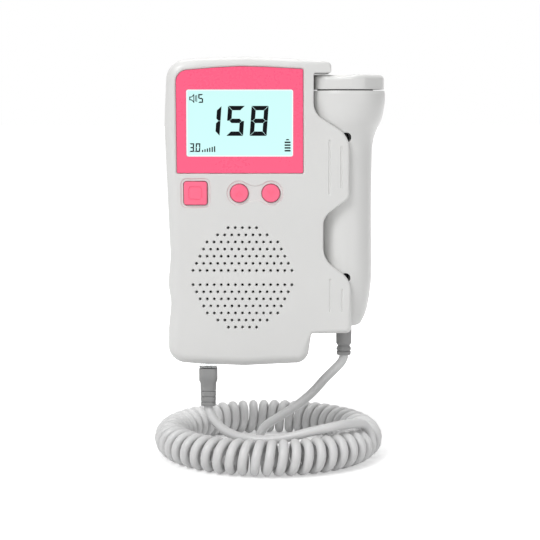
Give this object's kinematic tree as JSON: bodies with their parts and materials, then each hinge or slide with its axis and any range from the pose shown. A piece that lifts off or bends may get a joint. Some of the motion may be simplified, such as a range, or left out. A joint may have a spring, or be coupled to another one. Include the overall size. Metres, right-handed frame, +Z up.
{
  "type": "fetal doppler monitor",
  "caption": "Hand-held fetal heart monitor with a lit display, pink keys and speaker grille, a probe held in side clips and a curly cord in a ring.",
  "frame": {"origin": "on the flat back face of the case, at half its height and near the middle of its width", "axes": "+Z up towards the display, -Y out of the front with the display and keys, +X to the viewer's right, the probe's side"},
  "size_m": [0.1031, 0.1023, 0.178],
  "materials": {
    "case_plastic": "semi-gloss pale grey-white moulding",
    "pink_panel": "glossy pink printed panel",
    "pink_button": "satin pink key cap",
    "lcd_glass": "pale blue-green liquid crystal cell, lit from behind",
    "white_plastic": "white moulding",
    "black_plastic": "black moulding",
    "circuit_board": "green solder mask",
    "zinc_steel": "zinc plated",
    "black_screw": "blackened steel",
    "gold_contact": "gold flashed",
    "battery_wrap": "dark printed wrap",
    "speaker_paper": "black pressed cone paper",
    "grey_boot": "soft grey boot",
    "cord_jacket": "satin grey-white jacket",
    "clear_plug": "clear polycarbonate",
    "transducer_face": "smooth off-white face",
    "crystal_ceramic": "fired ceramic",
    "absorber": "dark damping compound"
  },
  "bodies": {
    "case": {"front_shell": "case_plastic", "back_shell": "case_plastic", "display_panel": "pink_panel", "lcd_glass": "lcd_glass", "lcd_frame": "white_plastic", "lcd_backlight": "white_plastic", "lcd_contact_strip": "black_plastic", "main_board": "circuit_board", "signal_chip": "black_plastic", "speaker_basket": "black_plastic", "speaker_cone": "speaker_paper", "speaker_magnet": "zinc_steel", "cord_jack": "black_plastic", "battery_left": "battery_wrap", "battery_right": "battery_wrap", "battery_spring_left": "zinc_steel", "battery_spring_right": "zinc_steel", "battery_link_plate": "zinc_steel", "battery_plus_plate": "zinc_steel", "battery_minus_plate": "zinc_steel", "case_screw_1": "zinc_steel", "case_screw_2": "zinc_steel", "case_screw_3": "zinc_steel", "case_screw_4": "zinc_steel", "board_screw_1": "zinc_steel", "board_screw_2": "zinc_steel", "board_screw_3": "zinc_steel", "power_switch": "black_plastic", "volume_up_switch": "black_plastic", "volume_down_switch": "black_plastic", "plug_lead": "cord_jacket", "curly_cord": "cord_jacket", "probe_lead": "cord_jacket"},
    "battery_door": {"battery_door": "case_plastic"},
    "power_button": {"power_button": "pink_button", "power_plunger": "white_plastic"},
    "volume_up_button": {"volume_up_button": "pink_button", "volume_up_plunger": "white_plastic"},
    "volume_down_button": {"volume_down_button": "pink_button", "volume_down_plunger": "white_plastic"},
    "probe": {"probe_front_shell": "case_plastic", "probe_back_shell": "case_plastic", "probe_cap": "case_plastic", "probe_face": "transducer_face", "transmit_crystal": "crystal_ceramic", "receive_crystal": "crystal_ceramic", "crystal_backing": "absorber", "probe_board": "circuit_board", "probe_screw_upper": "black_screw", "probe_screw_lower": "black_screw", "probe_boot": "grey_boot"},
    "plug": {"plug_body": "clear_plug", "plug_boot": "grey_boot", "plug_contact_1": "gold_contact", "plug_contact_2": "gold_contact", "plug_contact_3": "gold_contact", "plug_contact_4": "gold_contact"},
    "plug_latch": {"plug_latch": "clear_plug"}
  },
  "joints": [
    {"name": "power_press", "type": "slide", "parent": "case", "child": "power_button", "axis": [0, 1, 0], "range_m": [0, 0.0008], "stiffness_N_per_m": 1500},
    {"name": "volume_up_press", "type": "slide", "parent": "case", "child": "volume_up_button", "axis": [0, 1, 0], "range_m": [0, 0.0008], "stiffness_N_per_m": 1500},
    {"name": "volume_down_press", "type": "slide", "parent": "case", "child": "volume_down_button", "axis": [0, 1, 0], "range_m": [0, 0.0008], "stiffness_N_per_m": 1500},
    {"name": "battery_door_hinge", "type": "hinge", "parent": "case", "child": "battery_door", "pos_m": [-0.001, 0, -0.00446], "axis": [1, 0, 0], "range_deg": [0, 70]},
    {"name": "probe_lift", "type": "slide", "parent": "case", "child": "probe", "axis": [1, 0, 0], "range_m": [0, 0.03]},
    {"name": "plug_pull", "type": "slide", "parent": "case", "child": "plug", "axis": [0, 0, -1], "range_m": [0, 0.008], "deforming": ["plug_lead"]},
    {"name": "plug_latch_flex", "type": "hinge", "parent": "plug", "child": "plug_latch", "pos_m": [-0.0161, -0.0221, -0.05605], "axis": [-1, 0, 0], "range_deg": [0, 5], "stiffness_Nm_per_rad": 0.2}
  ]
}
